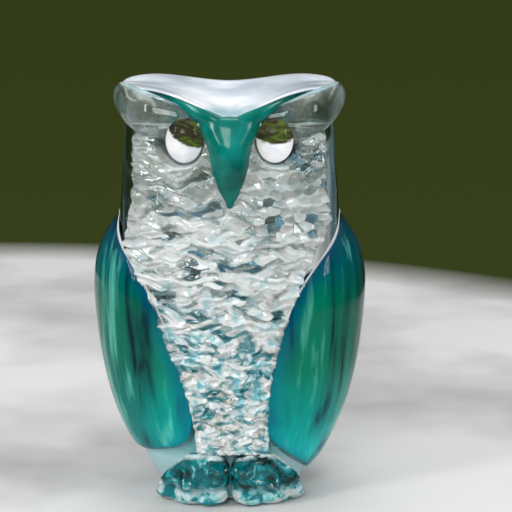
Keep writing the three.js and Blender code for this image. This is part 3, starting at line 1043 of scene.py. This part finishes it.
beak = combined(beak_keel(), "UNION", beak_arm("left"), beak_arm("right"))
show(combined(beak, "DIFFERENCE", crown(BEAK_GAP)), TEAL, "beak")
for side in SIDES:
    show(brow(side), LOBE, f"brow_{side}")


# ---- Eyes ----

LENS_BACK = -0.2  # the lens starts behind the foil
LENS_WALL = 1.1  # how far its straight wall goes
FOIL_SHARE = 0.96  # the foil's radius, as a share of the lens's
FOIL_THICK = 0.5
FOIL_BULGE = 0.4


def turned(name, middle, profile, tall, around=72):
    """A solid turned about an axis that points forwards. The profile is [radius, distance forwards], from the
    axis out and back to the axis."""
    points, faces = [], []
    inner = profile[1:-1]
    for r, forwards in inner:
        for k in range(around):
            a = 2 * pi * k / around
            points.append([middle[0] + r * cos(a), middle[1] - forwards, middle[2] + r * tall * sin(a)])
    for r, forwards in (profile[0], profile[-1]):
        points.append([middle[0], middle[1] - forwards, middle[2]])
    for i in range(len(inner) - 1):
        for k in range(around):
            m = (k + 1) % around
            faces.append((i * around + k, i * around + m, (i + 1) * around + m, (i + 1) * around + k))
    first = len(inner) * around
    last = first + 1
    top = first - around
    for k in range(around):
        m = (k + 1) % around
        faces.append((first, m, k))
        faces.append((last, top + k, top + m))
    return mesh_object(name, np.array(points) * MM, faces)


for side, (middle, radius, tall) in EYES.items():
    dome = middle[1] - node_box(f"eye_{side}_lens")[0][1]
    steps = np.linspace(0, pi / 2, 18)
    arc = [[radius * cos(a), LENS_WALL + (dome - LENS_WALL) * sin(a)] for a in steps]
    profile = [[0, LENS_BACK], [radius, LENS_BACK]] + arc[:-1] + [[0, dome]]
    lens = turned(f"eye_{side}_lens", middle, profile, tall)
    show(lens, LENS, f"eye_{side}_lens")
    r = radius * FOIL_SHARE
    bulge = [[r * u, FOIL_THICK + FOIL_BULGE * (1 - u * u)] for u in np.linspace(1, 0, 12)]
    foil = turned(f"eye_{side}_foil", middle, [[0, 0], [r, 0]] + bulge, tall)
    show(foil, eye_foil(side, middle * MM, radius * MM), f"eye_{side}_foil")


# ---- Breast ----

# A scatter's keys are turned into numbers that look random by the fraction of a large sine
KEY_FACTORS = (127.1, 311.7, 74.7)
SCATTER_SIZE = 43758.5453
LEAST_WEIGHT = 1e-12  # keeps a division by a weight possible
# What makes each set of facets a pattern of its own
SEEDS = {"marks": 1, "fine": 31, "bubbles": 11, "toes": 21}


def scatter(*keys):
    """Repeatable numbers from 0 to 1, one for each set of whole-number keys."""
    mixed = np.sin(sum(np.asarray(k, float) * f for k, f in zip(keys, KEY_FACTORS))) * SCATTER_SIZE
    return mixed - np.floor(mixed)


def mark_rows():
    """How many rows of hammer marks lie below each height, and each row's height again."""
    heights = np.linspace(MARKS[0][0] - MARK_MARGIN, MARKS[-1][0] + MARK_MARGIN, 400)
    rows = np.concatenate([[0], np.cumsum(np.diff(heights) / mark_height(heights[:-1]))])
    return lambda z: np.interp(z, heights, rows), lambda row: np.interp(row, rows, heights)


def facets(column, row, width, tall, seed):
    """Tilted and dished facets in staggered rows, each blended into its neighbours: their relief in
    millimetres, and a number from 0 to 1 that is each facet's own."""
    total, weight, tones, sharp = (np.zeros_like(column) for _ in range(4))
    for down in (-1, 0, 1):
        r = np.floor(row) + down
        stagger = column + 0.5 * (r % 2)
        for along in (-1, 0, 1):
            c = np.floor(stagger) + along
            dx = stagger - (c + 0.5 + MARK_JITTER[0] * (scatter(r, c, seed) - 0.5))
            dz = row - (r + 0.5 + MARK_JITTER[1] * (scatter(r, c, seed + 1) - 0.5))
            far = dx * dx + dz * dz
            near = np.exp(-MARK_EDGE * far)
            level = MARK_STEP * (scatter(r, c, seed + 2) - 0.5)
            tilt = MARK_TILT[0] * (scatter(r, c, seed + 3) - 0.5) * dx * width
            tilt = tilt + MARK_TILT[1] * (scatter(r, c, seed + 4) - 0.5) * dz * tall
            dish = MARK_DISH * (scatter(r, c, seed + 5) - DOMED) * far * tall
            total += near * (level + tilt + dish)
            tones += near**2 * scatter(r, c, seed + 6)
            weight += near
            sharp += near**2
    return total / np.maximum(weight, LEAST_WEIGHT), tones / np.maximum(sharp, LEAST_WEIGHT)


def hammered(x, z):
    """The breast's relief and tones: hammer marks in wavering rows, finer marks over them, ridges across, and
    small bubbly marks high on the right. Along each ridge the tone is raised, as a painted highlight."""
    row_at, height_of = mark_rows()
    row = wavering(row_at(z), ROW_WAVES, x, z)
    middle = height_of(np.floor(row) + 0.5)
    width, tall = mark_width(middle), mark_height(middle)
    column = wavering(x / width, COLUMN_WAVES, x, z)
    relief, tone = facets(column, row, width, tall, SEEDS["marks"])
    finer_x, finer_z = FINER
    fine, fine_tone = facets(finer_x * column, finer_z * row, width / finer_x, tall / finer_z, SEEDS["fine"])
    small, small_tone = facets(x / BUBBLE[0], z / BUBBLE[1], *BUBBLE, SEEDS["bubbles"])
    relief = (relief + FINE_RELIEF * fine) * mark_depth(z)
    tone = lerp(tone, fine_tone, FINE_TONE)
    for level, size in RIDGES:
        wander = wavering(0, RIDGE_WAVES, x, level)
        ridge = np.exp(-(((z - level - wander) / RIDGE_WIDTH) ** 2))
        relief = relief + size * ridge
        # A ridge's crest is painted pale, as a highlight.
        tone = np.maximum(tone, RIDGE_HIGHLIGHT * ridge)
    share = smooth(x, *BUBBLY_X) * smooth(z, *BUBBLY_Z)
    return lerp(relief, small * BUBBLE_RELIEF, share), lerp(tone, small_tone, share)


def plate_reach(side, z):
    """How far the plate reaches from the middle: just under the wing, and across the whole head above it."""
    under_wing = np.minimum(front_edge[side](np.maximum(z, HEM)) + UNDER_WING, HEAD_PLATE)
    return np.maximum(under_wing, HEAD_PLATE * smooth(z, *SPREAD_Z))


def breast():
    """The hammered plate, from the feet to the brows, thinning out at its edges and round the eyes."""
    low, high = breast_low[2], BREAST_TOP

    def layout(turn, rise):
        """What is on the front, how fully the plate stands out, and where each point is."""
        u = turn / (2 * pi)
        front = u < BREAST_FRONT
        there = 1 - 2 * u / BREAST_FRONT
        back_again = 2 * (u - BREAST_FRONT) / (1 - BREAST_FRONT) - 1
        across = np.where(front, there, back_again)
        z = lerp(low, high, rise / pi)
        left, right = (SIDES[side] * angle_at(plate_reach(side, z), z, 1) for side in SIDES)
        inwards = (1 - np.abs(across)) * (right - left) / 2 * body_depth(z)
        fade = smooth(inwards, 0, lerp(*EDGE_FADE, smooth(z, *EDGE_FADE_Z)))
        fade = fade * smooth(z - low, 0, HEM_FADE) * smooth(high - z, 0, EDGE_FADE[1])
        across = across * arch(1 - 2 * rise / pi, BREAST_END)
        angle = lerp(left, right, (1 + across) / 2)
        x = on_body(angle, z, 0)[..., 0]
        for middle, radius, tall in EYES.values():
            away = np.hypot((x - middle[0]) / radius, (z - middle[2]) / (radius * tall))
            fade = fade * smooth(away, *EYE_FADE)
        return front, fade, angle, x, z

    def point_at(turn, rise):
        front, fade, angle, x, z = layout(turn, rise)
        relief, _ = hammered(x, z)
        outside = lerp(-FUSE, BREAST_THICK + relief, fade)
        return on_body(angle, z, np.where(front, outside, -FUSE - BREAST_KEY * fade))

    # Each facet's own tone, raised along the ridges as a painted highlight.
    def fleck_and_highlight(turn, rise):
        _, _, _, x, z = layout(turn, rise)
        return hammered(x, z)[1]

    def bloom(turn, rise):
        return layout(turn, rise)[1]

    return closed_form("breast_plate", point_at, 380, 420, {"fleck_and_highlight": fleck_and_highlight, "bloom": bloom})


show(breast(), HAMMERED, "breast_plate")


# ---- Feet ----


def foot_disc():
    """The ground disc that the owl stands on, faintly rippled round its edge."""
    half, depth, top = disc_high
    ripples, ripple = DISC_RIPPLES

    def point_at(turn, rise):
        lift = (1 + np.cos(rise)) / 2
        lobes = 1 + ripple * np.cos(ripples * turn)
        edge = arch(np.cos(rise), DISC_EDGE) * lobes * lerp(DISC_TAPER, 1, lift)
        return np.stack([half * edge * np.sin(turn), -depth * edge * np.cos(turn), (top + FUSE) * lift], -1)

    return closed_form("foot_disc", point_at, 160, 40)


def foot(side):
    """A toed foot on the front of the body, lumpy and thickest on the ground."""

    def point_at(turn, rise):
        end = arch(np.cos(rise), FOOT_END)
        across, lift = bar_section(turn, end, FOOT_SQUARE)
        share = (1 + across) / 2
        z = height_at(rise, FOOT_SOLE[0] + FOOT_SOLE[1] * across**2, foot_top(share))
        angle = lerp(angle_at(FOOT_INNER, z, 0), angle_at(FOOT_OUTER, z, 0), share)
        knuckle = TOE_DEPTH * np.abs(np.sin(pi * TOES * share)) ** TOE_POWER
        lumps, _ = facets(angle * TOE_RADIUS / TOE_MARK[0], z / TOE_MARK[1], *TOE_MARK, SEEDS["toes"])
        thick = lerp(*FOOT_THICK, z / FOOT_TOP[0][1]) + knuckle + TOE_RELIEF * lumps * end
        return on_body(SIDES[side] * angle, z, lerp(-FUSE, thick, lift))

    return closed_form(f"foot_{side}", point_at, 150, 60, {"rim": lambda turn, rise: -np.cos(rise)})


show(foot_disc(), FOOT_GLASS, "foot_disc")
for side in SIDES:
    show(foot(side), FOOT_GLASS, f"foot_{side}")


# ---- Floor, world, lights and camera ----

# Lengths here are in metres
TABLE_RADIUS = 0.337
TABLE_MIDDLE = (-0.115, 0.0, 0.0)
TABLE_FADE = (0.95, 1.08)  # where the table's edge blurs away, as shares of its radius
TABLE_MESH = 1.2  # how far the mesh goes on, as a share of the radius
OWL_MIDDLE = Vector((0, 0, 58 * MM))
CAMERA_RISE = radians(12)
CAMERA_DISTANCE = 0.520
CAMERA_AIM = (0.0072, 0.0069)  # how far beside and above the owl's middle the camera looks
CAMERA_LENS = 133  # millimetres, on a sensor of that width
CAMERA_SENSOR = 36
# Soft lights: name, place, size, and power in watts
SOFTBOXES = [
    ["overhead", (0.05, 0.10, 0.75), (0.40, 0.30), 2],
    ["window", (-0.55, -0.45, 0.45), (0.12, 0.4), 3],
    ["key", (-0.15, -0.75, 0.45), (0.35, 0.25), 3],
    ["fill", (0.6, -0.35, 0.35), (0.15, 0.3), 1.5],
]


def pale_table():
    """Pale clouded stone whose edge blurs away."""
    n = new_material("pale_table")
    cloud = n.noise(9, detail=4)
    colour = n.ramp(cloud, (0.35, (0.36, 0.355, 0.35)), (0.55, (0.64, 0.63, 0.625)))
    pale = n.add("ShaderNodeBsdfPrincipled", {"Base Color": colour, "Roughness": 0.55})
    clear = n.add("ShaderNodeBsdfTransparent")
    far = n.add("ShaderNodeVectorMath", {0: n.place()}, operation="LENGTH").outputs["Value"]
    fade = n.spread(far, *(TABLE_RADIUS * share for share in TABLE_FADE))
    mix = n.add("ShaderNodeMixShader", {0: fade, 1: pale.outputs["BSDF"], 2: clear.outputs["BSDF"]})
    n.add("ShaderNodeOutputMaterial", {"Surface": mix.outputs["Shader"]})
    return n.owner


def table_top():
    """A round pale table top, flat on the ground."""
    rings, around = 40, 96
    points, faces = [(0, 0, 0)], []
    for i in range(1, rings + 1):
        r = TABLE_MESH * TABLE_RADIUS * (i / rings)
        points += [(r * cos(2 * pi * k / around), r * sin(2 * pi * k / around), 0) for k in range(around)]
    for k in range(around):
        faces.append((0, 1 + k, 1 + (k + 1) % around))
    for i in range(rings - 1):
        inner = 1 + i * around
        outer = inner + around
        for k in range(around):
            m = (k + 1) % around
            faces.append((inner + k, outer + k, outer + m, inner + m))
    mesh = bpy.data.meshes.new("table_top")
    mesh.from_pydata(points, [], faces)
    mesh.materials.append(pale_table())
    floor = bpy.data.objects.new("table_top", mesh)
    floor.location = TABLE_MIDDLE
    bpy.context.scene.collection.objects.link(floor)


def surroundings():
    """A room with a dark olive band round the horizon, pale below it and bright overhead."""
    world = bpy.data.worlds.new("surroundings")
    bpy.context.scene.world = world
    n = Nodes(world)
    direction = n.add("ShaderNodeTexCoord").outputs["Generated"]
    up = n.add("ShaderNodeSeparateXYZ", {"Vector": direction}).outputs["Z"]
    colour = n.ramp(
        n.spread(up, -1, 1),
        (0.0, (0.60, 0.60, 0.58)),
        (0.28, (0.50, 0.50, 0.48)),
        (0.38, (0.040, 0.052, 0.012)),
        (0.50, (0.030, 0.040, 0.008)),
        (0.62, (0.05, 0.06, 0.02)),
        (0.76, (0.60, 0.62, 0.63)),
        (1.0, (0.66, 0.68, 0.71)),
    )
    back = n.add("ShaderNodeBackground", {"Color": colour, "Strength": 1.0})
    n.add("ShaderNodeOutputWorld", {"Surface": back.outputs["Background"]})


def softbox(name, place, size, power):
    """A soft rectangular light that faces the owl."""
    light = bpy.data.lights.new(name, "AREA")
    light.shape = "RECTANGLE"
    light.size, light.size_y = size
    light.energy = power
    lamp = bpy.data.objects.new(name, light)
    lamp.location = place
    lamp.rotation_euler = (OWL_MIDDLE - Vector(place)).to_track_quat("-Z", "Y").to_euler()
    bpy.context.scene.collection.objects.link(lamp)


def camera():
    """Looks down on the owl a little, from in front, with the owl left of and below the frame's middle."""
    data = bpy.data.cameras.new("camera")
    data.lens = CAMERA_LENS
    data.sensor_width = CAMERA_SENSOR
    eye = bpy.data.objects.new("camera", data)
    back = Vector((0, -cos(CAMERA_RISE), sin(CAMERA_RISE)))
    up = Vector((0, sin(CAMERA_RISE), cos(CAMERA_RISE)))
    beside, above = CAMERA_AIM
    eye.location = OWL_MIDDLE + back * CAMERA_DISTANCE
    aim = OWL_MIDDLE + up * above + Vector((beside, 0, 0))
    eye.rotation_euler = (aim - eye.location).to_track_quat("-Z", "Y").to_euler()
    bpy.context.scene.collection.objects.link(eye)
    bpy.context.scene.camera = eye


bpy.context.scene.view_settings.view_transform = "Standard"
table_top()
surroundings()
for light in SOFTBOXES:
    softbox(*light)
camera()
